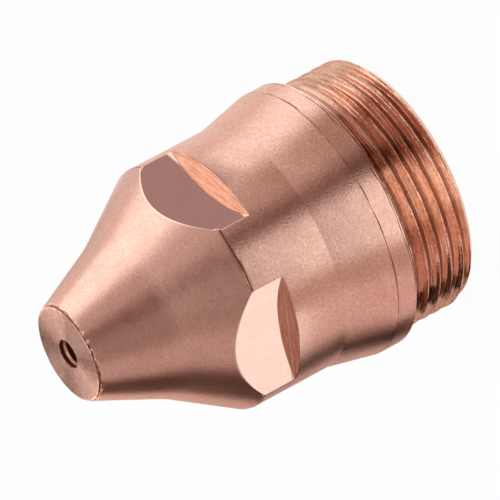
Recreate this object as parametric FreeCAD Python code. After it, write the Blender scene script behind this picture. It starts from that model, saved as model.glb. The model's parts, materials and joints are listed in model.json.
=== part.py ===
"""Copper nozzle of a plasma torch, turned and milled from one bar.

The nozzle stands on its thread end. Its axis is +Z, the nose points up, and the origin is
the centre of the rear face. All sizes are in millimetres.
"""
import FreeCAD, Part
import math
import os

# Lengths along the axis, in order from the nose face to the thread end
NOSE_CONE_LENGTH = 5.3
SHOULDER_CONE_LENGTH = 4.95
BAND_LENGTH = 6.4
TAPER_LENGTH = 3.85
COLLAR_LENGTH = 1.55
THREAD_LENGTH = 5.6

# Outside diameters
NOSE_FACE_DIAMETER = 7.1
CONE_BREAK_DIAMETER = 11.9
BAND_DIAMETER = 18.3
COLLAR_DIAMETER = 20.0
THREAD_MAJOR_DIAMETER = 18.8

# Lead-in chamfer at the thread end, 45 degrees
THREAD_CHAMFER = 0.55

# Spanner flats, milled into the front of the band and run out over the shoulder cone
FLAT_COUNT = 4
ACROSS_FLATS = 15.8
FLAT_LENGTH = 2.55

# Jet orifice: a short wider mouth, a 45 degree step and the calibrated bore
MOUTH_DIAMETER = 2.1
MOUTH_DEPTH = 0.3
ORIFICE_DIAMETER = 1.8
ORIFICE_LENGTH = 3.2

# Electrode chamber behind the orifice
CHAMBER_DIAMETER = 13.0
CHAMBER_FLOOR_HALF_ANGLE = 45.0
CHAMBER_FLOOR_RADIUS = 1.5
CHAMBER_CHAMFER = 0.5

# How far a milling cutter sweeps past the metal that it removes
CUTTER_OVERRUN = 1.0

# Heights of the sections above the rear face
COLLAR_REAR_Z = THREAD_LENGTH
COLLAR_FRONT_Z = COLLAR_REAR_Z + COLLAR_LENGTH
BAND_REAR_Z = COLLAR_FRONT_Z + TAPER_LENGTH
BAND_FRONT_Z = BAND_REAR_Z + BAND_LENGTH
CONE_BREAK_Z = BAND_FRONT_Z + SHOULDER_CONE_LENGTH
NOSE_Z = CONE_BREAK_Z + NOSE_CONE_LENGTH
FLAT_WALL_Z = BAND_FRONT_Z - FLAT_LENGTH


def section_point(radius, height):
    """Point of the turned section, in the XZ plane."""
    return FreeCAD.Vector(radius, 0.0, height)


def outside_points():
    """Outer contour of the blank, from the thread end up to the nose face."""
    thread_radius = THREAD_MAJOR_DIAMETER / 2
    return [
        section_point(thread_radius - THREAD_CHAMFER, 0.0),
        section_point(thread_radius, THREAD_CHAMFER),
        section_point(thread_radius, COLLAR_REAR_Z),
        section_point(COLLAR_DIAMETER / 2, COLLAR_REAR_Z),
        section_point(COLLAR_DIAMETER / 2, COLLAR_FRONT_Z),
        section_point(BAND_DIAMETER / 2, BAND_REAR_Z),
        section_point(BAND_DIAMETER / 2, BAND_FRONT_Z),
        section_point(CONE_BREAK_DIAMETER / 2, CONE_BREAK_Z),
        section_point(NOSE_FACE_DIAMETER / 2, NOSE_Z),
    ]


def orifice_points():
    """Contour of the jet orifice, from the nose face down to the chamber floor."""
    step_length = (MOUTH_DIAMETER - ORIFICE_DIAMETER) / 2
    return [
        section_point(MOUTH_DIAMETER / 2, NOSE_Z),
        section_point(MOUTH_DIAMETER / 2, NOSE_Z - MOUTH_DEPTH),
        section_point(ORIFICE_DIAMETER / 2, NOSE_Z - MOUTH_DEPTH - step_length),
        section_point(ORIFICE_DIAMETER / 2, NOSE_Z - ORIFICE_LENGTH),
    ]


def chamber_corner():
    """Start, middle and end of the arc that rounds the chamber floor into its wall."""
    half_angle = math.radians(CHAMBER_FLOOR_HALF_ANGLE)
    wall_radius = CHAMBER_DIAMETER / 2
    floor_depth = (wall_radius - ORIFICE_DIAMETER / 2) / math.tan(half_angle)
    corner_z = NOSE_Z - ORIFICE_LENGTH - floor_depth
    tangent = CHAMBER_FLOOR_RADIUS * math.tan(half_angle / 2)
    centre_radius = wall_radius - CHAMBER_FLOOR_RADIUS
    centre_z = corner_z - tangent

    def on_arc(angle):
        return section_point(
            centre_radius + CHAMBER_FLOOR_RADIUS * math.cos(angle),
            centre_z + CHAMBER_FLOOR_RADIUS * math.sin(angle),
        )

    return on_arc(half_angle), on_arc(half_angle / 2), on_arc(0.0)


def turned_blank():
    """Solid of revolution with the orifice and the chamber open right through."""
    floor_end, floor_middle, wall_start = chamber_corner()
    bore_radius = CHAMBER_DIAMETER / 2
    outside = outside_points()
    orifice = orifice_points()
    path_in = outside + orifice + [floor_end]
    path_out = [
        wall_start,
        section_point(bore_radius, CHAMBER_CHAMFER),
        section_point(bore_radius + CHAMBER_CHAMFER, 0.0),
        outside[0],
    ]
    edges = [Part.makeLine(a, b) for a, b in zip(path_in, path_in[1:])]
    edges.append(Part.Arc(floor_end, floor_middle, wall_start).toShape())
    edges += [Part.makeLine(a, b) for a, b in zip(path_out, path_out[1:])]
    section = Part.Face(Part.Wire(edges))
    return section.revolve(FreeCAD.Vector(0, 0, 0), FreeCAD.Vector(0, 0, 1), 360)


def flat_cutter(index):
    """Block that one pass of the milling cutter clears, from the flat's wall past the nose."""
    depth = (BAND_DIAMETER - ACROSS_FLATS) / 2 + CUTTER_OVERRUN
    width = BAND_DIAMETER
    height = NOSE_Z - FLAT_WALL_Z + CUTTER_OVERRUN
    corner = FreeCAD.Vector(ACROSS_FLATS / 2, -width / 2, FLAT_WALL_Z)
    block = Part.makeBox(depth, width, height, corner)
    block.rotate(FreeCAD.Vector(0, 0, 0), FreeCAD.Vector(0, 0, 1), index * 360 / FLAT_COUNT)
    return block


def nozzle():
    """Finished nozzle: the turned blank with its spanner flats."""
    body = turned_blank()
    for index in range(FLAT_COUNT):
        body = body.cut(flat_cutter(index))
    return body


os.makedirs("parts", exist_ok=True)
shape = nozzle()
shape.exportStep("parts/nozzle.step")
print("nozzle: valid", shape.isValid(), "solids", len(shape.Solids), "volume mm3", round(shape.Volume, 2))
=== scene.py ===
"""Dressed model of a one-piece copper nozzle for a plasma torch, with its studio.

All lengths are in metres. The nozzle stands on its thread end, its axis is +Z and the origin
is the centre of the rear face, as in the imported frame.
"""

import json
import logging
import math
from dataclasses import dataclass, field
from enum import Enum

import bmesh
import bpy
import numpy as np
from mathutils import Matrix, Vector


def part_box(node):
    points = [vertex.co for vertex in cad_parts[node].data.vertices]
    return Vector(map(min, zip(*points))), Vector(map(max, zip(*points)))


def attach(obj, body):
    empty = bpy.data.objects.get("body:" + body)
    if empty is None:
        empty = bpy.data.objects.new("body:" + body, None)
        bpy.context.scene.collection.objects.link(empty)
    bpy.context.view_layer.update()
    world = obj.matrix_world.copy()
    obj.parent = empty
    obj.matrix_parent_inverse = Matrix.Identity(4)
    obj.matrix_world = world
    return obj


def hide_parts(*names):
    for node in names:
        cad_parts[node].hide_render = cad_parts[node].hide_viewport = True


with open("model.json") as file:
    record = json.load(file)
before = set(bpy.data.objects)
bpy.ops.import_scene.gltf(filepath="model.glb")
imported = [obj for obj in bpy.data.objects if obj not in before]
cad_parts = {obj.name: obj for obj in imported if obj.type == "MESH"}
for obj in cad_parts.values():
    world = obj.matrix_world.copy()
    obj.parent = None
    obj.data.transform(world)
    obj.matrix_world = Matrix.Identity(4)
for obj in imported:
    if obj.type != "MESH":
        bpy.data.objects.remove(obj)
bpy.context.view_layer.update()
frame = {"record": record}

MM = 0.001
MICRON = 0.000001
TURN = 2 * math.pi
NODE = "nozzle"
WELD_DISTANCE = 0.05 * MICRON
SHARP_ANGLE = math.radians(32)
NEARLY_NOTHING = 1e-12

# Ragged lines: how many waves, their slowest and fastest rate in a turn, and their full reach
WAVE_COUNT = 12
WAVE_RATES = (1.5, 45.0)
WAVE_REACH = 2.2

# Rounded corners: most of a side that a rounding takes, and the strip beside it in radii
CORNER_REACH = 0.45
CORNER_STRIP = 0.6

log = logging.getLogger("nozzle")

Values = float | np.ndarray
"""One value for all columns, or one for each."""

Ring = np.ndarray
"""Radius and height of one line round the axis, as an array of shape (2, columns)."""


class Zone(Enum):
    """Areas that were finished in different ways. The value is the place in the slots."""

    NOSE_FACE = 0
    CONES = 1
    BAND = 2
    FLATS = 3
    THREAD = 4
    # Painted shade: the chamber and the orifice are coloured very dark
    INSIDE = 5
    # Painted shade: notches, the strip under the collar and the orifice's mouth
    EDGES = 6
    WALLS = 7
    # Painted highlight: the pale lip along the collar's rear edge
    LIP = 8


def mount(name: str) -> dict:
    """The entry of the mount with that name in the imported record."""
    return next(entry for entry in frame["record"]["mounts"] if entry["name"] == name)


def placed(name: str, data: bpy.types.ID) -> bpy.types.Object:
    """Puts an object into the scene, at the origin.

    Args:
        name: The object's name.
        data: Its mesh, lamp or camera.

    Returns:
        The object.
    """
    item = bpy.data.objects.new(name, data)
    bpy.context.scene.collection.objects.link(item)
    return item


def round_axis(radius: Values, azimuth: Values, height: Values) -> np.ndarray:
    """Points at radius times cosine, radius times sine, and height, in the last axis."""
    places = np.broadcast_arrays(radius * np.cos(azimuth), radius * np.sin(azimuth), height)
    return np.stack(places, axis=-1)


def grid_mesh(name: str, points: np.ndarray) -> bpy.types.Mesh:
    """Mesh with a quad between neighbouring rows and columns of a grid.

    Args:
        name: The mesh's name.
        points: Array of shape (rows, columns, 3).

    Returns:
        The mesh.
    """
    rows, columns, _ = points.shape
    number = np.arange(rows * columns).reshape(rows, columns)
    here, below = number[:-1], number[1:]
    quads = np.stack([here[:, :-1], below[:, :-1], below[:, 1:], here[:, 1:]], axis=-1)
    mesh = bpy.data.meshes.new(name)
    mesh.from_pydata(points.reshape(-1, 3), [], quads.reshape(-1, 4).tolist())
    return mesh


def ease(share: np.ndarray) -> np.ndarray:
    """Share held between 0 and 1 that leaves each end gently: 3 times its square less 2 cubes."""
    share = np.clip(share, 0.0, 1.0)
    return share * share * (3.0 - 2.0 * share)


def bell(distance: np.ndarray, width: float) -> np.ndarray:
    """Bell curve: 1 where the distance is nothing, and little past the width."""
    return np.exp(-((distance / width) ** 2))


def ragged(turns: np.ndarray, seed: int, closed: bool = False) -> np.ndarray:
    """Irregular line along the thread or an edge, a sum of seeded sine waves.

    A wave's height falls with the root of its rate, and all heights add up to the full reach.

    Args:
        turns: Place along the line, in turns.
        seed: Picks the waves.
        closed: Whether the line meets itself after one turn.

    Returns:
        Values mostly between -1 and 1, of the shape of turns.
    """
    rng = np.random.default_rng(seed)
    rates = rng.uniform(*WAVE_RATES, WAVE_COUNT)
    if closed:
        rates = np.round(rates)
    phases = rng.uniform(0.0, TURN, WAVE_COUNT)
    heights = 1.0 / np.sqrt(rates)
    heights = heights / heights.sum() * WAVE_REACH
    total = np.zeros_like(turns)
    for rate, phase, height in zip(rates, phases, heights):
        total += height * np.sin(TURN * rate * turns + phase)
    return total


@dataclass(frozen=True)
class Uneven:
    """A share that varies along a line: its mean, how far it sways, and what holds it."""

    mean: float
    sway: float
    low: float
    high: float

    def along(self, turns: np.ndarray, seed: int, closed: bool = False) -> np.ndarray:
        """The share at each place, with the ragged line of that seed."""
        return np.clip(self.mean + self.sway * ragged(turns, seed, closed), self.low, self.high)


@dataclass(frozen=True)
class ThreadForm:
    """Right-handed outside thread that runs out just behind the collar.

    Ridges are faint waves across the groove, the bead is torn metal on its lower flank, and the
    crest has a burr along each edge. Their places and widths are shares of the groove's half
    width or of the crest. A stretch is how fast a pattern changes along the helix.
    """

    major_radius: float
    pitch: float = 1.0 * MM
    depth: float = 0.60 * MM
    crest_width: float = 0.11 * MM
    crest_z: float = 4.38 * MM
    chamfer_radius: float = 8.85 * MM
    flank_power: float = 1.25
    runout_start_z: float = 4.72 * MM
    runout_end_z: float = 4.94 * MM
    lip_height: float = 0.04 * MM
    crest_wobble: float = 0.02 * MM
    ridge_height: float = 0.015 * MM
    ridge_count: float = 4.0
    ridge_sway: float = 2.0
    ridge_stretch: float = 0.2
    ridge_fade: float = 0.3
    bead_height: float = 0.045 * MM
    bead_place: float = -0.20
    bead_width: float = 0.10
    bead_stretch: float = 1.3
    bead: Uneven = Uneven(0.8, 0.6, 0.0, 1.4)
    burr: Uneven = Uneven(0.55, 0.6, 0.0, 1.0)
    burr_place: float = 0.16
    burr_width: float = 0.13
    groove_steps: int = 26
    crest_steps: int = 7

    def groove_depth(self, centre_z: np.ndarray) -> np.ndarray:
        """Depth of the groove where its middle is at centre_z: full, easing to nothing."""
        run = self.runout_end_z - self.runout_start_z
        return self.depth * (1.0 - ease((centre_z - self.runout_start_z) / run))

    def half_width(self, depth: np.ndarray) -> np.ndarray:
        """Half the width of a groove of that depth at the outside of the thread."""
        full = (self.pitch - self.crest_width) / 2
        return full * (depth / self.depth) ** (1.0 / self.flank_power)

    def centre(self, turns: np.ndarray) -> np.ndarray:
        """Height of a groove's middle: one pitch a turn, and the chatter of the cutter."""
        wobble = self.crest_wobble * ragged(turns, seed=5)
        return self.crest_z + self.pitch * (turns + 0.5) + wobble

    def groove(self, turns: np.ndarray, share: np.ndarray) -> tuple[np.ndarray, np.ndarray]:
        """Points across the groove, from its upper edge to its lower one.

        The depth is one less the distance from the middle, over the half width, to a power.
        A bead of torn metal, a bell curve of uneven height, stands low on the lower flank, and
        a few faint waves are the marks that the tip of the tool leaves.

        Args:
            turns: Place along the helix of each column.
            share: Place across the groove, 1 at the upper edge and -1 at the lower one.

        Returns:
            Radii and heights, each of shape (places across, columns).
        """
        middle = self.centre(turns)
        depth = self.groove_depth(middle)
        height = middle + self.half_width(depth) * share
        cut = depth * (1.0 - np.abs(share) ** self.flank_power)
        sway = self.ridge_sway * ragged(self.ridge_stretch * turns, seed=8)
        wave = np.sin(math.pi * self.ridge_count * share + sway)
        fade = np.clip(1.0 - np.abs(share), 0.0, self.ridge_fade)
        ridge = self.ridge_height * wave * fade / self.ridge_fade
        bead = self.bead_height * self.bead.along(self.bead_stretch * turns, seed=9)
        bead = bead * bell(share - self.bead_place, self.bead_width)
        raised = (bead - ridge - self.lip_height) * depth / self.depth
        return self.major_radius - cut + raised, height

    def crest(self, turns: np.ndarray, share: np.ndarray) -> tuple[np.ndarray, np.ndarray]:
        """Points across the crest below a groove, with a burr along each edge.

        Each burr is a bump whose height varies along the helix, and the crest between the two
        is a little hollow. Where a groove is missing above it, the crest is plain.

        Args:
            turns: Place along the helix of each column.
            share: Place across the crest, from 0 above to 1 below.

        Returns:
            Radii and heights, each of shape (places across, columns).
        """
        above, below = self.centre(turns), self.centre(turns - 1.0)
        deep_above, deep_below = self.groove_depth(above), self.groove_depth(below)
        start = above - self.half_width(deep_above)
        end = below + self.half_width(deep_below)
        height = start + (end - start) * share
        upper = self.burr.along(turns, seed=11) * deep_above / self.depth
        lower = self.burr.along(turns, seed=12) * deep_below / self.depth
        lip = upper * bell(share - self.burr_place, self.burr_width)
        lip = lip + lower * bell(share - (1.0 - self.burr_place), self.burr_width)
        hollow = (1.0 - share) * deep_above + share * deep_below
        return self.major_radius - self.lip_height * (1.0 - lip) * hollow / self.depth, height

    def rows(self, azimuth: np.ndarray, top: np.ndarray) -> np.ndarray:
        """Rows that follow the helix, from under the collar down to the rear face.

        Args:
            azimuth: Angle of each column.
            top: Height of each column's upper end.

        Returns:
            Array of shape (rows, 3, columns) of radii, heights and places: how far a point
            is below the middle of its groove, in pitches. A 45 degree cone cuts the end, and
            rows past an end lie on that end.
        """
        first = math.ceil((float(top.max()) - self.crest_z) / self.pitch) + 1
        last = math.floor(-self.crest_z / self.pitch) - 2
        down = np.linspace(1.0, -1.0, self.groove_steps + 1)[:, None]
        across = np.linspace(0.0, 1.0, self.crest_steps + 1)[1:-1, None]
        radii, heights, places = [], [], []
        for index in range(first, last, -1):
            turns = azimuth / TURN + index
            for radius, height in (self.groove(turns, down), self.crest(turns, across)):
                radii.append(radius)
                heights.append(height)
                places.append((self.centre(turns) - height) / self.pitch)
        radius, height, place = map(np.concatenate, (radii, heights, places))
        column = np.arange(len(azimuth))
        below = np.argmax(height < 0.0, axis=0)
        over, under = (below - 1, column), (below, column)
        fall = height[over] - height[under]
        at_end = radius[over] + (radius[under] - radius[over]) * height[over] / fall
        radius = np.where(height < 0.0, at_end, radius)
        radius = np.where(height > top, self.major_radius, radius)
        height = np.clip(height, 0.0, top)
        return np.stack([np.minimum(radius, self.chamfer_radius + height), height, place], 1)


def length(step: Ring) -> np.ndarray:
    """Length of a step in each column, never quite nothing, so that it can divide."""
    return np.maximum(np.hypot(*step), NEARLY_NOTHING)


def round_corner(before: Ring, corner: Ring, after: Ring, radius: float, steps: int) -> np.ndarray:
    """Rings that round a corner of the section, a parabola tangent to both sides.

    It touches them at the radius times the tangent of half the turn, which is the turn's sine
    over one more than its cosine.

    Args:
        before: Ring that the contour comes from.
        corner: Ring at the sharp corner.
        after: Ring that the contour goes on to.
        radius: Radius of the rounding.
        steps: Number of strips in it.

    Returns:
        Array of shape (steps + 1, 2, columns).
    """
    into, out = corner - before, after - corner
    reach = CORNER_REACH * np.minimum(length(into), length(out))
    into, out = into / length(into), out / length(out)
    sine = np.abs(into[0] * out[1] - into[1] * out[0])
    cosine = (into * out).sum(axis=0)
    tangent = np.minimum(radius * sine / np.maximum(1.0 + cosine, NEARLY_NOTHING), reach)
    start = corner - into * tangent
    end = corner + out * tangent
    share = np.linspace(0.0, 1.0, steps + 1)[:, None, None]
    return (1 - share) ** 2 * start + 2 * share * (1 - share) * corner + share**2 * end


def towards(ring: Ring, other: Ring, distance: float) -> Ring:
    """The ring moved that distance towards another, or a third of the way if that is less."""
    apart = other - ring
    return ring + apart / length(apart) * np.minimum(distance, length(apart) / 3)


@dataclass(frozen=True)
class Burr:
    """Ragged edge of a turned corner, with a fine notch past it, coloured dark as painted shade.

    The width and the depth are the notch's, and patchy is how far its width varies round the
    edge. Lead and brink lie before the corner, bottom and tail past it, and broken is the size
    of a corner that has no burr, all in widths. Sag is how far the edge sinks, in depths.
    """

    width: float
    depth: float
    seed: int
    patchy: float = 0.0
    lead: float = 0.8
    brink: float = 0.3
    sag: float = 0.3
    bottom: float = 0.4
    tail: float = 1.8
    broken: float = 0.28
    patch_limits: tuple[float, float] = (0.12, 1.9)
    deep: Uneven = Uneven(0.65, 0.6, 0.1, 1.3)
    torn: Uneven = Uneven(0.65, 0.6, 0.25, 1.3)

    def widths(self, turns: np.ndarray) -> np.ndarray:
        """Width of the notch at each place round the edge."""
        patches = Uneven(1.0, self.patchy, *self.patch_limits)
        return self.width * patches.along(turns, self.seed + 90, closed=True)


@dataclass(frozen=True)
class TornLip:
    """Lip torn up by the tool along an edge, pale as a painted highlight, with a notch before it.

    It is strongest at one azimuth and falls with the cosine of the angle from there, to a trace
    on the far side. The notch is as high as its depth times the notch height.
    """

    azimuth: float = math.radians(5)
    width: float = 0.125 * MM
    width_sway: float = 0.6
    notch_depth: float = 0.085 * MM
    notch_height: float = 1.6
    notch: Uneven = Uneven(0.6, 0.6, 0.15, 1.0)
    corner_radius: float = 0.04 * MM
    half_strength: float = 0.35
    trace: float = 0.12

    def sizes(self, azimuth: np.ndarray) -> tuple[np.ndarray, np.ndarray]:
        """Width of the lip and depth of its notch at each azimuth.

        Args:
            azimuth: Angle of each column.

        Returns:
            The two, each with a value for every column.
        """
        fall = (1.0 - self.half_strength) * np.cos(azimuth - self.azimuth)
        strength = np.clip(self.half_strength + fall, self.trace, 1.0)
        turns = azimuth / TURN
        uneven = 1.0 + self.width_sway * ragged(turns, seed=26, closed=True)
        notch = self.notch.along(turns, seed=27, closed=True)
        return self.width * strength * uneven, self.notch_depth * strength * notch


@dataclass
class Contour:
    """Section of the nozzle as it is carried round the axis, row by row.

    Each strip between two rows has two zones: one for the round parts and one for the flats.
    """

    azimuth: np.ndarray
    spacing: float = 2.5 * MM
    rows: list[np.ndarray] = field(default_factory=list)
    zones: list[tuple[Zone, Zone]] = field(default_factory=list)
    grooves: list[np.ndarray] = field(default_factory=list)

    def ring(self, radius: Values, height: Values) -> Ring:
        """A line round the axis."""
        return np.stack([radius + 0.0 * self.azimuth, height + 0.0 * self.azimuth])

    def start(self, ring: Ring) -> None:
        """Begins the contour at a ring."""
        self.rows = [ring]
        self.grooves = [0.0 * ring[0]]

    def row(self, ring: Ring, zone: Zone, flat: Zone | None = None, groove: Values = 0.0) -> None:
        """Adds one ring.

        Args:
            ring: Radius and height of each column.
            zone: Zone of the strip before the ring.
            flat: Zone of that strip on the flats, where it is another.
            groove: Place across the thread's groove.
        """
        self.rows.append(ring)
        self.zones.append((zone, flat or zone))
        self.grooves.append(groove + 0.0 * ring[0])

    def line(self, ring: Ring, zone: Zone, flat: Zone | None = None) -> None:
        """Goes straight to a ring, in strips no wider than the spacing.

        Args:
            ring: Where it ends.
            zone: Zone of the strips.
            flat: Their zone on the flats, where it is another.
        """
        last = self.rows[-1]
        steps = max(1, math.ceil(float(np.hypot(*(ring - last)).max()) / self.spacing))
        for step in range(1, steps + 1):
            self.row(last + (ring - last) * (step / steps), zone, flat)

    def corner(self, ring: Ring, after: Ring, radius: float, zone: Zone,
               flat: Zone | None = None, steps: int = 4) -> None:
        """Goes straight towards a ring and rounds the corner there.

        A narrow strip on each side of the rounding keeps the shading of what is flat true.

        Args:
            ring: The sharp corner.
            after: The corner that follows it.
            radius: Radius of the rounding.
            zone: Zone of the straight part and of the rounding.
            flat: Zone of the same on the flats, where it is another.
            steps: Number of strips in the rounding.
        """
        arc = round_corner(self.rows[-1], ring, after, radius, steps)
        self.line(towards(arc[0], self.rows[-1], CORNER_STRIP * radius), zone, flat)
        for row in arc:
            self.row(row, zone, flat)
        self.row(towards(arc[-1], after, CORNER_STRIP * radius), zone, flat)

    def burr(self, ring: Ring, after: Ring, burr: Burr, zones: tuple[Zone, Zone],
             share: Values = 1.0, flat: Zone | None = None) -> None:
        """Goes straight to a ragged burred corner with a fine notch past it, dark as painted shade.

        Args:
            ring: The sharp corner.
            after: The corner that follows it.
            burr: Form and seed of the burr.
            zones: Zone of the straight part and zone past the corner.
            share: 1 where there is a burr and 0 where the corner is only broken.
            flat: Zone of the edge on the flats, where they cut it.
        """
        into = (ring - self.rows[-1]) / length(ring - self.rows[-1])
        out = (after - ring) / length(after - ring)
        inward = (out - into) / length(out - into)
        turns = self.azimuth / TURN
        width = burr.widths(turns)
        deep = burr.deep.along(turns, burr.seed, closed=True)
        torn = burr.torn.along(turns, burr.seed + 50, closed=True)
        broken = burr.broken * width * (1.0 - share)
        sag = burr.sag * burr.depth * (burr.torn.high - torn) * share
        bottom = broken + burr.bottom * width * torn * share
        foot = burr.bottom + (1.0 - burr.bottom) * torn * share
        self.line(ring - into * burr.lead * width, zones[0])
        self.row(ring - into * burr.brink * width, zones[0])
        self.row(ring - into * broken + inward * sag, zones[0], flat)
        # The notch's strips take the edge finish, dark as painted shade
        self.row(ring + out * bottom + inward * burr.depth * deep * share, Zone.EDGES, flat)
        self.row(ring + out * foot * width, Zone.EDGES, flat)
        self.row(ring + out * burr.tail * width, zones[1], flat)

    def surface(self, rows: np.ndarray, zone: Zone) -> None:
        """Goes on through rows worked out elsewhere: radii, heights and places in a groove."""
        for radius, height, groove in rows:
            self.row(np.stack([radius, height]), zone, groove=groove)


@dataclass
class NozzleBody:
    """The whole nozzle: turned outside, milled flats, thread, orifice and chamber.

    The columns of its mesh are closer together at the fine angles, in degrees from each place
    where a flat meets the band.
    """

    nose_z: float
    collar_radius: float
    collar_rear_z: float
    flat_distance: float
    orifice_radius: float
    chamber_radius: float
    thread: ThreadForm
    nose_face_radius: float = 3.55 * MM
    cone_break_radius: float = 5.95 * MM
    cone_break_z: float = 22.35 * MM
    band_radius: float = 9.15 * MM
    band_front_z: float = 17.4 * MM
    flat_wall_z: float = 14.85 * MM
    band_rear_z: float = 11.0 * MM
    collar_front_z: float = 7.15 * MM
    mouth_radius: float = 1.05 * MM
    mouth_depth: float = 0.3 * MM
    mouth_edge_radius: float = 0.025 * MM
    orifice_length: float = 3.2 * MM
    chamber_floor_angle: float = math.radians(45)
    chamber_floor_radius: float = 1.5 * MM
    chamber_floor_steps: int = 8
    chamber_chamfer: float = 0.5 * MM
    edge_radius: float = 0.05 * MM
    undercut_height: float = 0.42 * MM
    undercut_sway: float = 0.12
    cone_break_bend: float = 8.0 * MM
    cone_break_steps: int = 8
    nose_burr: Burr = Burr(0.23 * MM, 0.10 * MM, 21)
    band_burr: Burr = Burr(0.19 * MM, 0.11 * MM, 22)
    collar_burr: Burr = Burr(0.075 * MM, 0.05 * MM, 23, patchy=1.1)
    lip: TornLip = TornLip()
    flat_count: int = 4
    flat_edge_blend: float = 0.02 * MM
    flat_edge_share: float = 0.3
    flat_foot_radius: float = 0.01 * MM
    column_count: int = 300
    column_gap: float = 0.3
    fine_angles: tuple[float, ...] = (-0.75, -0.5, -0.3, -0.15, 0.0, 0.15, 0.3, 0.5, 0.75)

    @classmethod
    def from_frame(cls) -> "NozzleBody":
        """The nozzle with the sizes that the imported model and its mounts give.

        Returns:
            The nozzle.
        """
        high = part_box(NODE)[1]
        return cls(
            nose_z=high[2],
            collar_radius=high[0],
            collar_rear_z=mount("seating_shoulder")["pos_m"][2],
            flat_distance=mount("spanner_flat_front_right")["pos_m"][0],
            orifice_radius=mount("orifice")["dims"]["r_mm"] * MM,
            chamber_radius=mount("electrode_chamber")["dims"]["r_mm"] * MM,
            thread=ThreadForm(mount("thread_outside")["dims"]["r_mm"] * MM),
        )

    def azimuths(self) -> np.ndarray:
        """Angles of the columns: even steps, with finer ones where a flat meets the band.

        Returns:
            The angles in order, from 0 to a full turn.
        """
        even = np.linspace(0.0, TURN, self.column_count + 1)
        half = math.acos(self.flat_distance / self.band_radius)
        fine = np.radians(self.fine_angles)
        sides = np.array([-half, half])
        middles = np.arange(self.flat_count + 1) * TURN / self.flat_count
        special = (middles[:, None, None] + sides[None, :, None] + fine[None, None, :]).ravel()
        special = special[(special > 0.0) & (special < TURN)]
        gap = np.abs(even[:, None] - special[None, :]).min(axis=1)
        keep = gap > math.radians(self.column_gap)
        return np.unique(np.concatenate([even[keep], special]))

    def flat_radius(self, azimuth: np.ndarray) -> np.ndarray:
        """Radius of the front of the band: the flats' planes and the round between them.

        The lesser of the band's radius and the flat's distance over the cosine of the angle
        from its middle, blended where the two meet.

        Args:
            azimuth: Angle of each column.

        Returns:
            The radius in each column.
        """
        step = TURN / self.flat_count
        local = (azimuth + step / 2) % step - step / 2
        plane = self.flat_distance / np.cos(local)
        blend = np.clip(self.flat_edge_blend - np.abs(plane - self.band_radius), 0.0, None)
        return np.minimum(plane, self.band_radius) - blend**2 / (4 * self.flat_edge_blend)

    def on_flat(self, azimuth: np.ndarray) -> np.ndarray:
        """True for the angles that lie on a flat, past a share of its blended edge."""
        edge = self.flat_edge_share * self.flat_edge_blend
        return self.flat_radius(azimuth) < self.band_radius - edge

    def chamber_arc(self) -> list[tuple[float, float]]:
        """The arc between the chamber's wall and its conical floor.

        Returns:
            Radii and heights, from the wall up.
        """
        angle = self.chamber_floor_angle
        bend = self.chamber_floor_radius
        drop = (self.chamber_radius - self.orifice_radius) / math.tan(angle)
        corner_z = self.nose_z - self.orifice_length - drop
        centre_z = corner_z - bend * math.tan(angle / 2)
        centre_r = self.chamber_radius - bend
        steps = self.chamber_floor_steps
        turns = [step * angle / steps for step in range(steps + 1)]
        return [(centre_r + bend * math.cos(t), centre_z + bend * math.sin(t)) for t in turns]

    def contour(self, azimuth: np.ndarray) -> Contour:
        """The section's rows, from the orifice's mouth over the outside and back inside.

        Args:
            azimuth: Angle of each column.

        Returns:
            The closed contour, with a zone for each strip.
        """
        section = Contour(azimuth)
        self.front(section)
        self.rear(section)
        self.inside(section)
        return section

    def front(self, section: Contour) -> None:
        """Nose face, cones, flats, band and taper, up to the collar's front edge.

        The contour starts where the rounding of the orifice's mouth ends. A flat cuts the
        shoulder cone at a height that rises as the radius of the cut falls.

        Args:
            section: The contour that they are added to.
        """
        cut = self.flat_radius(section.azimuth)
        cone_length = self.cone_break_z - self.band_front_z
        rise = cone_length / (self.band_radius - self.cone_break_radius)
        rounding = (1.0 + CORNER_STRIP) * self.mouth_edge_radius
        nose_edge = section.ring(self.nose_face_radius, self.nose_z)
        cone_break = section.ring(self.cone_break_radius, self.cone_break_z)
        flat_front = section.ring(cut, self.band_front_z + (self.band_radius - cut) * rise)
        flat_rear = section.ring(cut, self.flat_wall_z)
        wall_top = section.ring(self.band_radius, self.flat_wall_z)
        band_rear = section.ring(self.band_radius, self.band_rear_z)
        collar_front = section.ring(self.collar_radius, self.collar_front_z)
        collar_rear = section.ring(self.collar_radius, self.collar_rear_z)
        turned = np.clip((cut - self.band_radius) / (2 * self.edge_radius) + 1.0, 0.0, 1.0)
        section.start(section.ring(self.mouth_radius + rounding, self.nose_z))
        section.burr(nose_edge, cone_break, self.nose_burr, (Zone.NOSE_FACE, Zone.CONES))
        section.corner(cone_break, flat_front, self.cone_break_bend, Zone.CONES,
                       steps=self.cone_break_steps)
        section.burr(flat_front, flat_rear, self.band_burr, (Zone.CONES, Zone.BAND), turned,
                     Zone.FLATS)
        section.corner(flat_rear, wall_top, self.flat_foot_radius, Zone.BAND, Zone.FLATS)
        section.corner(wall_top, band_rear, self.edge_radius, Zone.BAND, Zone.WALLS)
        section.corner(band_rear, collar_front, 2 * self.edge_radius, Zone.BAND)
        section.burr(collar_front, collar_rear, self.collar_burr, (Zone.BAND, Zone.BAND))

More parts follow.
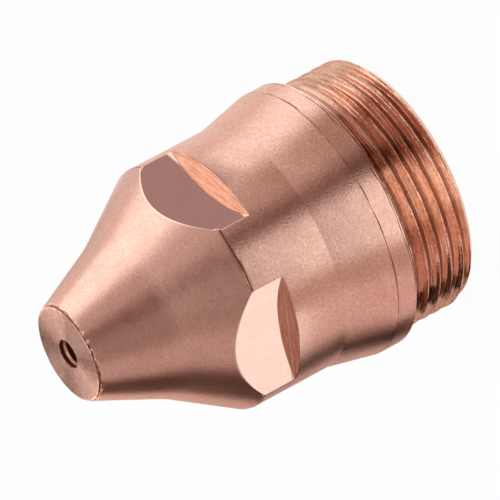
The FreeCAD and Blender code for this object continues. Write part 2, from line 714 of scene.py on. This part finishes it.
    def rear(self, section: Contour) -> None:
        """Rear edge of the collar with its lip, the undercut behind it and the thread.

        The lip is a strip of the edge that a notch sets apart from the collar. Its pale finish is a
        painted highlight, and the notch and the strip under the collar are dark as painted shade.

        Args:
            section: The contour that they are added to.
        """
        radius, rear_z = self.collar_radius, self.collar_rear_z
        width, notch = self.lip.sizes(section.azimuth)
        lip_z = rear_z + width
        half_notch = self.lip.notch_height / 2 * notch
        thread_top = section.ring(self.thread.major_radius, rear_z)
        section.line(section.ring(radius, lip_z + 2 * half_notch), Zone.BAND)
        # Notch before the lip, in the edge finish: dark as painted shade
        section.row(section.ring(radius - notch, lip_z + half_notch), Zone.EDGES)
        section.row(section.ring(radius, lip_z), Zone.EDGES)
        # The lip, whose pale finish is a painted highlight
        section.corner(section.ring(radius, rear_z), thread_top, self.lip.corner_radius, Zone.LIP)
        section.line(thread_top, Zone.BAND)
        uneven = 1.0 + self.undercut_sway * ragged(section.azimuth / TURN, seed=25, closed=True)
        ring_top = section.ring(self.thread.major_radius, rear_z - self.undercut_height * uneven)
        # Strip under the collar, in the edge finish: dark as painted shade under the collar
        section.line(ring_top, Zone.EDGES)
        section.surface(self.thread.rows(section.azimuth, ring_top[1]), Zone.THREAD)

    def inside(self, section: Contour) -> None:
        """Chamfer, wall and floor of the chamber, and the orifice up to the nose face.

        Args:
            section: The contour that they are added to.
        """
        mouth_z = self.nose_z - self.mouth_depth
        corners = [
            (self.chamber_radius + self.chamber_chamfer, 0.0),
            (self.chamber_radius, self.chamber_chamfer),
            *self.chamber_arc(),
            (self.orifice_radius, self.nose_z - self.orifice_length),
            (self.orifice_radius, mouth_z - (self.mouth_radius - self.orifice_radius)),
        ]
        for radius, height in corners:
            section.line(section.ring(radius, height), Zone.INSIDE)
        # Wall of the orifice's mouth, in the edge finish: dark as painted shade in the recess
        section.line(section.ring(self.mouth_radius, mouth_z), Zone.EDGES)
        mouth = section.ring(self.mouth_radius, self.nose_z)
        nose_edge = section.ring(self.nose_face_radius, self.nose_z)
        section.corner(mouth, nose_edge, self.mouth_edge_radius, Zone.INSIDE)

    def mesh(self) -> bpy.types.Mesh:
        """One closed mesh: each row carried round the axis, at radius times cos and sin.

        The turning attribute holds the cosine and the sine of the azimuth, and the length of
        the section up to the row in millimetres, for patterns that follow the lathe. The groove
        attribute holds the cosine and the sine of the place across the thread's groove.

        Returns:
            The mesh, with the zone of each face as its slot.
        """
        azimuth = self.azimuths()
        section = self.contour(azimuth)
        grid = np.stack(section.rows)
        mesh = grid_mesh("nozzle_body", round_axis(grid[:, 0], azimuth, grid[:, 1]))
        flat = self.on_flat((azimuth[:-1] + azimuth[1:]) / 2)
        slots = np.array([[zone.value for zone in pair] for pair in section.zones])
        slots = np.where(flat[None, :], slots[:, 1:], slots[:, :1])
        mesh.polygons.foreach_set("material_index", slots.ravel().astype(np.int32))
        along = np.zeros_like(grid[:, 0])
        along[1:] = np.cumsum(np.hypot(*np.moveaxis(np.diff(grid, axis=0), 1, 0)), axis=0) / MM
        turned = round_axis(1.0, azimuth, along)
        across = round_axis(1.0, TURN * np.stack(section.grooves), 0.0)
        for name, values in (("turning", turned), ("groove", across)):
            layer = mesh.attributes.new(name, "FLOAT_VECTOR", "POINT")
            layer.data.foreach_set("vector", values.astype(np.float32).ravel())
        self.weld(mesh)
        return mesh

    def weld(self, mesh: bpy.types.Mesh) -> None:
        """Merges the points that lie on each other, so that seams and ends are closed.

        Args:
            mesh: The mesh, changed in place.
        """
        work = bmesh.new()
        work.from_mesh(mesh)
        bmesh.ops.remove_doubles(work, verts=work.verts, dist=WELD_DISTANCE)
        bmesh.ops.dissolve_degenerate(work, dist=WELD_DISTANCE, edges=work.edges)
        open_edges = sum(1 for edge in work.edges if len(edge.link_faces) != 2)
        volume = work.calc_volume(signed=True)
        if volume < 0.0:
            bmesh.ops.reverse_faces(work, faces=work.faces)
        for face in work.faces:
            face.smooth = True
        for edge in work.edges:
            edge.smooth = edge.calc_face_angle(0.0) < SHARP_ANGLE
        work.to_mesh(mesh)
        work.free()
        log.info("welded: %d faces, %d open edges, %.0f mm3", len(mesh.polygons), open_edges,
                 abs(volume) / MM**3)

    def build(self, finishes: dict[Zone, "Finish"]) -> bpy.types.Object:
        """Makes the piece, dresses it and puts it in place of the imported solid.

        Args:
            finishes: The finish of each zone.

        Returns:
            The finished object.
        """
        mesh = self.mesh()
        piece = placed("nozzle_body", mesh)
        for zone in Zone:
            mesh.materials.append(finishes[zone].material())
        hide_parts(NODE)
        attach(piece, "root")
        return piece


class Onset(Enum):
    """Values of a pattern between which what it drives sets in."""

    WIDE = (0.3, 0.7)
    MOTTLE = (0.35, 0.65)
    GRAIN = (0.38, 0.66)
    LINES = (0.45, 0.65)
    HAIR = (0.494, 0.5)
    PAST_HAIR = (0.5, 0.506)
    SPECK = (0.66, 0.76)
    # Where the painted shade in the thread's groove sets in
    GROOVE_SHADE = (0.75, 1.15)
    CREST = (1.5, 1.9)


Socket = bpy.types.NodeSocket


class Nodes:
    """Short way to write the node tree of a material or of the world."""

    def __init__(self, owner: bpy.types.Material | bpy.types.World) -> None:
        """Takes the owner's node tree, emptied.

        Args:
            owner: The material or the world.
        """
        owner.use_nodes = True
        self.owner = owner
        self.tree = owner.node_tree
        self.tree.nodes.clear()

    def add(self, kind: str, inputs: dict[str | int, object] | None = None,
            **settings: object) -> bpy.types.Node:
        """Adds a node.

        Args:
            kind: The node's type, without the ShaderNode before it.
            inputs: What goes into its inputs, by name or number.
            settings: Its properties.

        Returns:
            The node.
        """
        node = self.tree.nodes.new("ShaderNode" + kind)
        for name, value in settings.items():
            setattr(node, name, value)
        for name, value in (inputs or {}).items():
            self.feed(node.inputs[name], value)
        return node

    def feed(self, socket: Socket, value: object) -> None:
        """Gives an input its value.

        Args:
            socket: The input.
            value: A number, a vector, a colour or another node's output.
        """
        if isinstance(value, Socket):
            self.tree.links.new(value, socket)
        elif socket.type == "RGBA":
            socket.default_value = (*value, 1.0)
        else:
            socket.default_value = value

    def maths(self, operation: str, *values: object) -> Socket:
        """Result of a maths node on the values, in the order of its inputs."""
        return self.add("Math", dict(enumerate(values)), operation=operation).outputs[0]

    def vectors(self, operation: str, first: object, second: object) -> bpy.types.Node:
        """Vector maths node on two vectors."""
        return self.add("VectorMath", {0: first, 1: second}, operation=operation)

    def millimetres(self) -> Socket:
        """Object coordinates in millimetres."""
        place = self.add("TexCoord").outputs["Object"]
        return self.vectors("MULTIPLY", place, (1 / MM, 1 / MM, 1 / MM)).outputs[0]

    def lathe(self, around: float, across: float) -> Socket:
        """The turning attribute in cells of a pattern, so many a radian and a millimetre."""
        place = self.add("Attribute", attribute_name="turning").outputs["Vector"]
        return self.vectors("MULTIPLY", place, (around, around, across)).outputs[0]

    def groove(self, place: float) -> Socket:
        """1 at a place across the thread's groove, falling to -1 half a pitch from it.

        Args:
            place: How far it is below the groove's middle, in pitches.

        Returns:
            The value's socket.
        """
        across = self.add("Attribute", attribute_name="groove").outputs["Vector"]
        there = (math.cos(TURN * place), math.sin(TURN * place), 0.0)
        return self.vectors("DOT_PRODUCT", across, there).outputs["Value"]

    def noise(self, vector: Socket, scale: float, detail: float = 3.0,
              contrast: float = 0.5) -> Socket:
        """Noise with scale cells a unit of the vector, and octaves of finer noise in it."""
        inputs = {"Vector": vector, "Scale": scale, "Detail": detail, "Roughness": contrast}
        return self.add("TexNoise", inputs).outputs["Fac"]

    def remap(self, value: Socket, low: float, high: float, onset: Onset = Onset.WIDE) -> Socket:
        """Maps a pattern to a range and holds it there.

        Args:
            value: The pattern.
            low: Result up to where the onset starts.
            high: Result from where it ends.
            onset: The values of the pattern in between.

        Returns:
            The result's socket.
        """
        start, end = onset.value
        node = self.add("MapRange", {"Value": value, "From Min": start, "From Max": end,
                                     "To Min": low, "To Max": high})
        return node.outputs["Result"]

    def mix(self, factor: Socket, first: object, second: object) -> Socket:
        """Blend of two colours, each a tuple or a socket."""
        inputs = {"Factor": factor, 6: first, 7: second}
        return self.add("Mix", inputs, data_type="RGBA").outputs[2]

    def tint(self, colour: object, other: object, pattern: Socket, strength: float,
             onset: Onset) -> Socket:
        """A colour pulled towards another, by up to the strength past a pattern's onset."""
        return self.mix(self.remap(pattern, 0.0, strength, onset), colour, other)

    def bump(self, height: Socket, depth: float, before: Socket | None = None) -> Socket:
        """Normal of a surface with that relief.

        Args:
            height: Relief from 0 to 1.
            depth: Its depth, in metres.
            before: Normal that the relief is added to.

        Returns:
            The normal's socket.
        """
        node = self.add("Bump", {"Strength": 1.0, "Distance": depth, "Height": height})
        if before is not None:
            self.feed(node.inputs["Normal"], before)
        return node.outputs["Normal"]

    def turning(self) -> Socket:
        """Direction of turning: square to the axis and to the way out from it."""
        place = self.add("TexCoord").outputs["Object"]
        return self.vectors("CROSS_PRODUCT", (0.0, 0.0, 1.0), place).outputs[0]

    def finish(self, shader: Socket, kind: str = "OutputMaterial") -> bpy.types.ID:
        """Ends the tree with what the surface shows, and gives back the tree's owner."""
        self.add(kind, {"Surface": shader})
        return self.owner

    def glow(self, colour: object) -> bpy.types.Material:
        """Finishes the material as plain light of a colour, a tuple or a socket."""
        return self.finish(self.add("Emission", {"Color": colour}).outputs[0])

    def metal(self, colour: Socket, roughness: Socket, normal: Socket,
              streak: float) -> bpy.types.Material:
        """Finishes the material as bare metal.

        Args:
            colour: Colour of the metal.
            roughness: Its roughness.
            normal: Its normal.
            streak: How far the turning lines draw a reflection out across them, 0 to 1.

        Returns:
            The material.
        """
        shader = self.add("BsdfPrincipled", {
            "Metallic": 1.0,
            "Anisotropic": streak,
            "Anisotropic Rotation": 0.25,
            "Tangent": self.turning(),
            "Base Color": colour,
            "Roughness": roughness,
            "Normal": normal,
        })
        return self.finish(shader.outputs[0])


@dataclass(frozen=True)
class Finish:
    """Bare copper: a mottled colour, the grain of its surface and the lines of the tool.

    Scales are cells a millimetre, and specks are so many times finer than the grain. The lines
    run round the axis, with line_around cells in a radian and line_across in a millimetre of
    the section. Scratches are fine curved lines. In the thread, painted shade lies at a place in
    the groove, broken up by so much of the lines, and fainter dark spots lie at the crest, broken
    up by the grain.
    """

    name: str
    light: tuple[float, float, float] = (1.0, 0.65, 0.545)
    dark: tuple[float, float, float] = (0.74, 0.40, 0.30)
    # Dark colour of the specks, which are stains, and of the painted shade in the thread's groove
    stain_and_shade: tuple[float, float, float] = (0.55, 0.24, 0.15)
    roughness: tuple[float, float] = (0.26, 0.33)
    mottle_scale: float = 0.7
    mottle_tint: float = 0.35
    grain_scale: float = 7.0
    grain_depth: float = 11.0 * MICRON
    grain_tint: float = 0.7
    line_around: float = 14.0
    line_across: float = 9.0
    line_depth: float = 5.0 * MICRON
    line_tint: float = 0.4
    scratch_scale: float = 0.9
    scratch_tint: float = 0.25
    speck_fineness: float = 1.6
    stain_tint: float = 0.5
    # Strength of the painted shade in the thread's groove
    groove_shade_tint: float = 0.0
    groove_place: float = -0.03
    groove_lines: float = 0.7
    crest_share: float = 0.7
    crest_place: float = 0.46
    crest_grain: float = 1.4
    streak: float = 0.6

    def colour(self, nodes: Nodes, place: Socket, mottle: Socket, grain: Socket,
               lines: Socket) -> Socket:
        """Colour of the metal: each pattern pulls it from light to dark in turn.

        A scratch is where slow noise crosses its middle: it rises to there and falls after it.

        Args:
            nodes: The material's node tree.
            place: Object coordinates in millimetres.
            mottle: Slow noise.
            grain: Fine noise.
            lines: Noise along the tool's lines.

        Returns:
            The colour's socket.
        """
        colour = nodes.tint(self.light, self.dark, mottle, self.mottle_tint, Onset.MOTTLE)
        colour = nodes.tint(colour, self.dark, grain, self.grain_tint, Onset.GRAIN)
        colour = nodes.tint(colour, self.dark, lines, self.line_tint, Onset.LINES)
        hairs = nodes.noise(place, self.scratch_scale, detail=1.5, contrast=0.4)
        rise = nodes.remap(hairs, 0.0, self.scratch_tint, Onset.HAIR)
        fall = nodes.remap(hairs, 1.0, 0.0, Onset.PAST_HAIR)
        colour = nodes.mix(nodes.maths("MULTIPLY", rise, fall), colour, self.light)
        specks = nodes.noise(place, self.speck_fineness * self.grain_scale, detail=1.0)
        colour = nodes.tint(colour, self.stain_and_shade, specks, self.stain_tint, Onset.SPECK)
        # Painted shade: the groove's shadowed flank and root are pulled to the dark colour, and the
        # crest gets fainter dark spots
        if self.groove_shade_tint > 0.0:
            groove = nodes.groove(self.groove_place)
            groove = nodes.maths("MULTIPLY_ADD", lines, self.groove_lines, groove)
            colour = nodes.tint(colour, self.stain_and_shade, groove, self.groove_shade_tint, Onset.GROOVE_SHADE)
            crest = nodes.groove(self.crest_place)
            crest = nodes.maths("MULTIPLY_ADD", grain, self.crest_grain, crest)
            crest_tint = self.crest_share * self.groove_shade_tint
            colour = nodes.tint(colour, self.stain_and_shade, crest, crest_tint, Onset.CREST)
        return colour

    def material(self) -> bpy.types.Material:
        """The finish on Object coordinates and the turning attribute.

        Returns:
            The material.
        """
        nodes = Nodes(bpy.data.materials.new(self.name))
        place = nodes.millimetres()
        lathe = nodes.lathe(self.line_around, self.line_across)
        mottle = nodes.noise(place, self.mottle_scale, detail=5.0, contrast=0.6)
        grain = nodes.noise(place, self.grain_scale, detail=2.0, contrast=0.8)
        lines = nodes.noise(lathe, 1.0, detail=3.0, contrast=0.65)
        colour = self.colour(nodes, place, mottle, grain, lines)
        roughness = nodes.remap(mottle, *self.roughness)
        normal = nodes.bump(grain, self.grain_depth)
        normal = nodes.bump(lines, self.line_depth, before=normal)
        return nodes.metal(colour, roughness, normal, self.streak)


def direction(azimuth: float, elevation: float) -> Vector:
    """Unit vector at an azimuth from +X and an elevation, both in degrees."""
    turn, rise = math.radians(azimuth), math.radians(elevation)
    return Vector(round_axis(math.cos(rise), turn, math.sin(rise)))


@dataclass(frozen=True)
class SoftBox:
    """A square lamp that faces the nozzle."""

    name: str
    azimuth: float
    elevation: float
    distance: float
    size: float
    power: float

    def build(self, target: Vector) -> bpy.types.Object:
        """Places the lamp at its angles round the target, facing it.

        Args:
            target: What it faces.

        Returns:
            The lamp.
        """
        data = bpy.data.lights.new(self.name, "AREA")
        data.shape = "SQUARE"
        data.size = self.size
        data.energy = self.power
        outward = direction(self.azimuth, self.elevation)
        lamp = placed(self.name, data)
        lamp.location = target + outward * self.distance
        lamp.rotation_euler = outward.to_track_quat("Z", "Y").to_euler()
        return lamp


class Paper(Enum):
    """Colours of the papers that the tent's panels are covered with."""

    WHITE = (1.0, 1.0, 1.0)
    CREAM = (1.0, 0.90, 0.85)
    COOL = (0.88, 0.95, 1.0)
    ROSE = (1.0, 0.80, 0.78)
    WARM = (1.0, 0.74, 0.66)
    TAN = (1.0, 0.62, 0.50)
    BROWN = (1.0, 0.50, 0.38)


class Tier(Enum):
    """Lowest and highest point of a panel above the floor."""

    FOOT = (-5 * MM, 2.4 * MM)
    SILL = (-5 * MM, 3.1 * MM)
    LOW = (2.0 * MM, 14 * MM)
    RIM = (9.2 * MM, 14 * MM)
    HIGH = (14 * MM, 52 * MM)
    BACK = (29 * MM, 54 * MM)
    TOP = (29 * MM, 100 * MM)
    FAR_TOP = (54 * MM, 100 * MM)
    BELOW_TOP = (-5 * MM, 52 * MM)


def window(distance: np.ndarray, width: float, soft: float) -> np.ndarray:
    """1 inside a width, easing to 0 over an edge that is soft wide, by distance from its middle."""
    return ease((width / 2 - np.abs(distance)) / soft + 0.5)


@dataclass(frozen=True)
class Panel:
    """A grey or white field of the light tent, with soft edges.

    Angles are in degrees from the camera's azimuth. Lean is how many degrees the panel shifts
    over each millimetre of height.
    """

    start: float
    end: float
    tier: Tier
    level: float
    paper: Paper = Paper.WHITE
    soft: float = 8.0
    soft_height: float = 1.0 * MM
    lean: float = 0.0

    def over(self, light: np.ndarray, azimuth: np.ndarray, height: np.ndarray) -> np.ndarray:
        """Lays the panel over what the tent holds so far.

        Args:
            light: Colours, an array of shape (rows, columns, 3).
            azimuth: Azimuths from the camera's.
            height: Heights above the floor.

        Returns:
            The new colours.
        """
        low, high = self.tier.value
        middle = (self.start + self.end) / 2 + self.lean * (height - low) / MM
        apart = (azimuth - middle + 180.0) % 360.0 - 180.0
        cover = window(apart, self.end - self.start, self.soft)
        cover = cover * window(height - (low + high) / 2, high - low, self.soft_height)
        colour = self.level * np.array(self.paper.value)
        return light * (1.0 - cover[..., None]) + colour * cover[..., None]


@dataclass(frozen=True)
class LightTent:
    """A bowl of soft panels round the nozzle, which only the metal sees.

    Polished copper shows what stands round it, so the studio has a tent: a cone from the foot
    up to the brim, and upright above it.
    """

    camera_azimuth: float
    foot_radius: float = 10.3 * MM
    brim_radius: float = 26.0 * MM
    brim_height: float = 14.0 * MM
    foot_height: float = 0.2 * MM
    top_height: float = 94.0 * MM
    rows_below_brim: int = 60
    rows_above_brim: int = 120
    columns: int = 480
    ground: float = 1.0
    panels: tuple[Panel, ...] = (
        Panel(-200, 200, Tier.BELOW_TOP, 0.5, Paper.WARM),
        Panel(-129, -90, Tier.HIGH, 0.07, Paper.BROWN),
        Panel(-86, -48, Tier.HIGH, 0.52, Paper.ROSE),
        Panel(-48, -6, Tier.HIGH, 0.29, Paper.WARM, soft=20),
        Panel(-8, 24, Tier.HIGH, 0.15, Paper.BROWN, soft=20),
        Panel(23, 55, Tier.HIGH, 0.48, Paper.ROSE, soft=20),
        Panel(58, 112, Tier.HIGH, 1.38, soft=20),
        Panel(112, 140, Tier.HIGH, 0.75, Paper.CREAM, soft=16),
        Panel(140, 180, Tier.HIGH, 0.60, Paper.CREAM, soft=16),
        Panel(-180, -131, Tier.HIGH, 0.65, Paper.WARM, soft=14),
        Panel(128, 232, Tier.BACK, 2.95, Paper.CREAM, soft=12),
        Panel(166, 194, Tier.TOP, 0.08, Paper.BROWN, soft=10),
        Panel(145, 215, Tier.FAR_TOP, 0.08, Paper.BROWN, soft=10),
        Panel(-180, 180, Tier.FOOT, 0.8, Paper.WARM),
        Panel(-56, -28, Tier.FOOT, 0.97, Paper.ROSE, soft=12),
        Panel(-27, 1, Tier.FOOT, 1.62, Paper.COOL, soft=12),
        Panel(3, 30, Tier.FOOT, 0.43, Paper.TAN, soft=12),
        Panel(30, 58, Tier.FOOT, 0.52, Paper.TAN, soft=12),
        Panel(62, 95, Tier.FOOT, 1.10, Paper.WARM, soft=12),
        Panel(95, 150, Tier.FOOT, 0.95, Paper.TAN, soft=12),
        Panel(-180, -113, Tier.LOW, 0.62, Paper.WARM, soft=16),
        Panel(-100, -78, Tier.LOW, 0.02, Paper.BROWN, soft=3, lean=-2.5),
        Panel(-83, -46, Tier.LOW, 0.74, Paper.ROSE, soft=4),
        Panel(-88, -64, Tier.SILL, 0.26, Paper.BROWN, soft=3, lean=-2.5),
        Panel(-47, -29, Tier.LOW, 0.56, Paper.WARM),
        Panel(-30, 8, Tier.LOW, 1.1, soft=10),
        Panel(9, 24, Tier.LOW, 0.10, Paper.BROWN, soft=14),
        Panel(24, 56, Tier.LOW, 0.43, Paper.WARM, soft=14),
        Panel(55, 92, Tier.LOW, 1.22, soft=14),
        Panel(90, 145, Tier.LOW, 0.90, Paper.CREAM, soft=14),
        Panel(140, 180, Tier.LOW, 0.9),
        Panel(-32, 5, Tier.RIM, 0.72, soft=10),
        Panel(26, 60, Tier.RIM, 0.82, Paper.CREAM, soft=14),
    )

    def mesh(self) -> bpy.types.Mesh:
        """The bowl: radius from its height, and the light at each point as an attribute.

        Returns:
            The mesh.
        """
        below = np.linspace(self.foot_height, self.brim_height, self.rows_below_brim + 1)
        above = np.linspace(self.brim_height, self.top_height, self.rows_above_brim + 1)
        around = np.linspace(-180.0, 180.0, self.columns + 1)
        turn, height = np.meshgrid(around, np.concatenate([below, above[1:]]))
        rise = np.clip(height / self.brim_height, 0.0, 1.0)
        radius = self.foot_radius + (self.brim_radius - self.foot_radius) * rise
        points = round_axis(radius, np.radians(turn + self.camera_azimuth), height)
        light = np.full(points.shape, self.ground)
        for panel in self.panels:
            light = panel.over(light, turn, height)
        colours = np.concatenate([light, np.ones_like(light[..., :1])], axis=-1)
        mesh = grid_mesh("light_tent", points)
        layer = mesh.color_attributes.new("light", "FLOAT_COLOR", "POINT")
        layer.data.foreach_set("color", colours.astype(np.float32).ravel())
        return mesh

    def build(self) -> bpy.types.Object:
        """Makes the tent, unseen by the camera and by the light that falls on the floor.

        Returns:
            The tent.
        """
        nodes = Nodes(bpy.data.materials.new("light_tent"))
        light = nodes.add("Attribute", attribute_name="light").outputs["Color"]
        return reflector(self.mesh(), nodes.glow(light))


@dataclass(frozen=True)
class KickerCard:
    """A small card before one of the flats, which shines like a mirror and sees nothing else."""

    name: str
    azimuth: float
    colour: tuple[float, float, float]
    distance: float = 12.5 * MM
    shift: float = 4.6 * MM
    width: float = 10.6 * MM
    low: float = 12.2 * MM
    high: float = 16.9 * MM

    def build(self) -> bpy.types.Object:
        """An upright rectangle, square to the azimuth and moved along the shift.

        Returns:
            The card.
        """
        turn = math.radians(self.azimuth)
        outward = round_axis(self.distance, turn, 0.0)
        along = np.array([-math.sin(turn), math.cos(turn), 0.0])
        sides = self.shift + self.width * np.array([-0.5, 0.5, 0.5, -0.5])
        points = outward + along * sides[:, None]
        points[:, 2] = [self.low, self.low, self.high, self.high]
        mesh = bpy.data.meshes.new(self.name)
        mesh.from_pydata(points, [], [(0, 1, 2, 3)])
        return reflector(mesh, Nodes(bpy.data.materials.new(self.name)).glow(self.colour))


def reflector(mesh: bpy.types.Mesh, material: bpy.types.Material) -> bpy.types.Object:
    """Stands a glowing card in the studio where only the metal sees it.

    Args:
        mesh: The card.
        material: Its glow.

    Returns:
        The object.
    """
    material.cycles.emission_sampling = "NONE"
    mesh.materials.append(material)
    card = placed(mesh.name, mesh)
    card.visible_camera = False
    card.visible_diffuse = False
    card.visible_shadow = False
    card.visible_transmission = False
    return card


@dataclass
class Studio:
    """Pale floor, soft light, light tent and the camera."""

    camera_azimuth: float = -46.29
    camera_elevation: float = 24.05
    camera_roll: float = 118.07
    camera_distance: float = 639.57 * MM
    camera_lens: float = 672.5
    camera_reach: tuple[float, float] = (0.01, 20.0)
    sensor_width: float = 36.0
    target: tuple[float, float, float] = (0.305 * MM, 0.291 * MM, 12.108 * MM)
    floor_radius: float = 3.0
    floor_drop: float = 0.01 * MM
    floor_glow: float = 0.96
    floor_sides: int = 96
    patch_radius: float = 8.8 * MM
    paper: tuple[float, float, float] = (0.92, 0.92, 0.92)
    world_light: float = 0.55
    world_seen: float = 1.0
    softboxes: tuple[SoftBox, ...] = (
        SoftBox("overhead_softbox", azimuth=60, elevation=82, distance=0.30, size=0.24,
                power=0.42),
    )
    kickers: tuple[KickerCard, ...] = (
        KickerCard("grey_kicker", azimuth=0, colour=(0.39, 0.30, 0.30)),
        KickerCard("white_kicker", azimuth=-90, colour=(1.08, 1.12, 1.12), shift=-4.6 * MM),
    )

    def camera(self) -> bpy.types.Object:
        """The camera, aimed at the target from its angles and rolled about its own axis.

        Returns:
            The camera.
        """
        outward = direction(self.camera_azimuth, self.camera_elevation)
        right = Vector((0, 0, 1)).cross(outward).normalized()
        upright = outward.cross(right)
        turn = Matrix((right, upright, outward)).transposed().to_4x4()
        roll = Matrix.Rotation(math.radians(-self.camera_roll), 4, "Z")
        data = bpy.data.cameras.new("camera")
        data.lens = self.camera_lens
        data.sensor_width = self.sensor_width
        data.clip_start, data.clip_end = self.camera_reach
        camera = placed("camera", data)
        place = Matrix.Translation(Vector(self.target) + outward * self.camera_distance)
        camera.matrix_world = place @ turn @ roll
        bpy.context.scene.camera = camera
        return camera

    def floor(self) -> bpy.types.Object:
        """A round pale floor, with a plain patch where the nozzle stands.

        Returns:
            The floor.
        """
        angle = np.linspace(0.0, TURN, self.floor_sides, endpoint=False)
        radii = np.array([[self.patch_radius], [self.floor_radius]])
        points = round_axis(radii, angle, -self.floor_drop).reshape(-1, 3)
        inner = np.arange(self.floor_sides)
        after = np.roll(inner, -1)
        outer = inner + self.floor_sides
        ring = np.stack([inner, outer, after + self.floor_sides, after], -1)
        mesh = bpy.data.meshes.new("floor")
        mesh.from_pydata(points, [], [inner.tolist()] + ring.tolist())
        mesh.polygons.foreach_set("material_index", np.minimum(np.arange(len(ring) + 1), 1))
        mesh.materials.append(self.pale("floor_patch", 0.0))
        mesh.materials.append(self.pale("pale_floor", self.floor_glow))
        floor = placed("floor", mesh)
        return floor

    def pale(self, name: str, share: float) -> bpy.types.Material:
        """Pale matt paper that partly keeps its own white wherever it is seen.

        Args:
            name: The material's name.
            share: How much of it is plain white, the rest takes light and shadow.

        Returns:
            The material.
        """
        nodes = Nodes(bpy.data.materials.new(name))
        matt = nodes.add("BsdfDiffuse", {"Color": self.paper}).outputs[0]
        glow = nodes.add("Emission").outputs[0]
        factor = nodes.maths("MULTIPLY", self.seen(nodes), share)
        material = nodes.finish(nodes.add("MixShader", {0: factor, 1: matt, 2: glow}).outputs[0])
        material.cycles.emission_sampling = "NONE"
        return material

    def seen(self, nodes: Nodes) -> Socket:
        """1 for what the camera sees, straight or in the metal, and 0 for the light itself.

        Args:
            nodes: The node tree that asks.

        Returns:
            The value's socket.
        """
        rays = nodes.add("LightPath").outputs
        straight = nodes.maths("MAXIMUM", rays["Is Camera Ray"], rays["Is Glossy Ray"])
        return nodes.maths("MAXIMUM", straight, rays["Is Transmission Ray"])

    def world(self) -> None:
        """An even pale surround, at full strength only where it is seen."""
        world = bpy.data.worlds.new("studio")
        bpy.context.scene.world = world
        nodes = Nodes(world)
        strength = nodes.add("MapRange", {"Value": self.seen(nodes), "To Min": self.world_light,
                                          "To Max": self.world_seen})
        background = nodes.add("Background", {"Strength": strength.outputs["Result"]})
        nodes.finish(background.outputs[0], "OutputWorld")

    def build(self) -> None:
        """Sets up the whole studio."""
        self.world()
        self.floor()
        for softbox in self.softboxes:
            softbox.build(Vector(self.target))
        LightTent(self.camera_azimuth).build()
        for card in self.kickers:
            card.build()
        self.camera()
        bpy.context.scene.view_settings.view_transform = "Standard"


def finishes() -> dict[Zone, Finish]:
    """The finish of each zone of the nozzle."""
    return {
        Zone.NOSE_FACE: Finish("faced_copper", light=(1.0, 0.67, 0.57), dark=(0.48, 0.25, 0.19),
                               roughness=(0.30, 0.42), mottle_scale=1.3, mottle_tint=0.75,
                               grain_depth=3 * MICRON, grain_tint=0.9, line_around=3.0,
                               line_depth=6 * MICRON, line_tint=0.5, scratch_tint=0.9,
                               streak=0.9),
        Zone.CONES: Finish("turned_copper"),
        Zone.BAND: Finish("blasted_copper", roughness=(0.26, 0.34), grain_depth=17 * MICRON,
                          grain_tint=1.0),
        Zone.FLATS: Finish("milled_copper", light=(0.97, 0.66, 0.56), dark=(0.90, 0.57, 0.46),
                           roughness=(0.04, 0.06), grain_depth=0.05 * MICRON, grain_tint=0.8,
                           line_depth=0.02 * MICRON, line_tint=0.0, scratch_tint=0.3,
                           stain_tint=0.1, streak=0.0),
        Zone.WALLS: Finish("milled_walls", light=(0.98, 0.71, 0.58), dark=(0.48, 0.24, 0.15),
                           roughness=(0.06, 0.10), grain_depth=0.1 * MICRON, line_around=3.0,
                           line_across=6.0, line_depth=1.5 * MICRON, line_tint=0.9, streak=0.0),
        # Painted shade: the notches past the edges, the strip under the collar and the orifice's
        # mouth are coloured dark
        Zone.EDGES: Finish("ragged_edge_painted_shade", light=(0.62, 0.31, 0.22), dark=(0.20, 0.07, 0.04),
                           roughness=(0.35, 0.5), mottle_scale=2.0, mottle_tint=0.8,
                           line_around=40.0, streak=0.0),
        # The thread's groove tint is painted shade on the groove's shadowed flank and root
        Zone.THREAD: Finish("threaded_copper", light=(1.0, 0.66, 0.51), dark=(0.64, 0.36, 0.26),
                            stain_and_shade=(0.36, 0.14, 0.08), roughness=(0.06, 0.10), grain_scale=4.5,
                            grain_depth=9 * MICRON, grain_tint=0.6, stain_tint=0.6,
                            line_around=3.0, line_across=12.0, line_depth=5 * MICRON,
                            line_tint=0.9, groove_shade_tint=0.6, streak=0.0),
        # Painted highlight: the lip is coloured pale
        Zone.LIP: Finish("lip_painted_highlight", light=(1.0, 0.86, 0.74), dark=(0.8, 0.4, 0.28),
                         roughness=(0.15, 0.25), grain_depth=4 * MICRON, streak=0.0),
        # Painted shade: the chamber and the orifice are coloured very dark
        Zone.INSIDE: Finish("bored_copper_painted_shade", light=(0.34, 0.10, 0.06), dark=(0.22, 0.06, 0.03),
                            roughness=(0.3, 0.45)),
    }


def main() -> None:
    """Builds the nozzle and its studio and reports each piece."""
    logging.basicConfig(level=logging.INFO, format="%(name)s: %(message)s")
    piece = NozzleBody.from_frame().build(finishes())
    log.info("%s: %d faces", piece.name, len(piece.data.polygons))
    studio = Studio()
    studio.build()
    log.info("studio: floor, tent, %d cards, lamps: %d", len(studio.kickers), len(studio.softboxes))


if __name__ == "__main__":
    main()
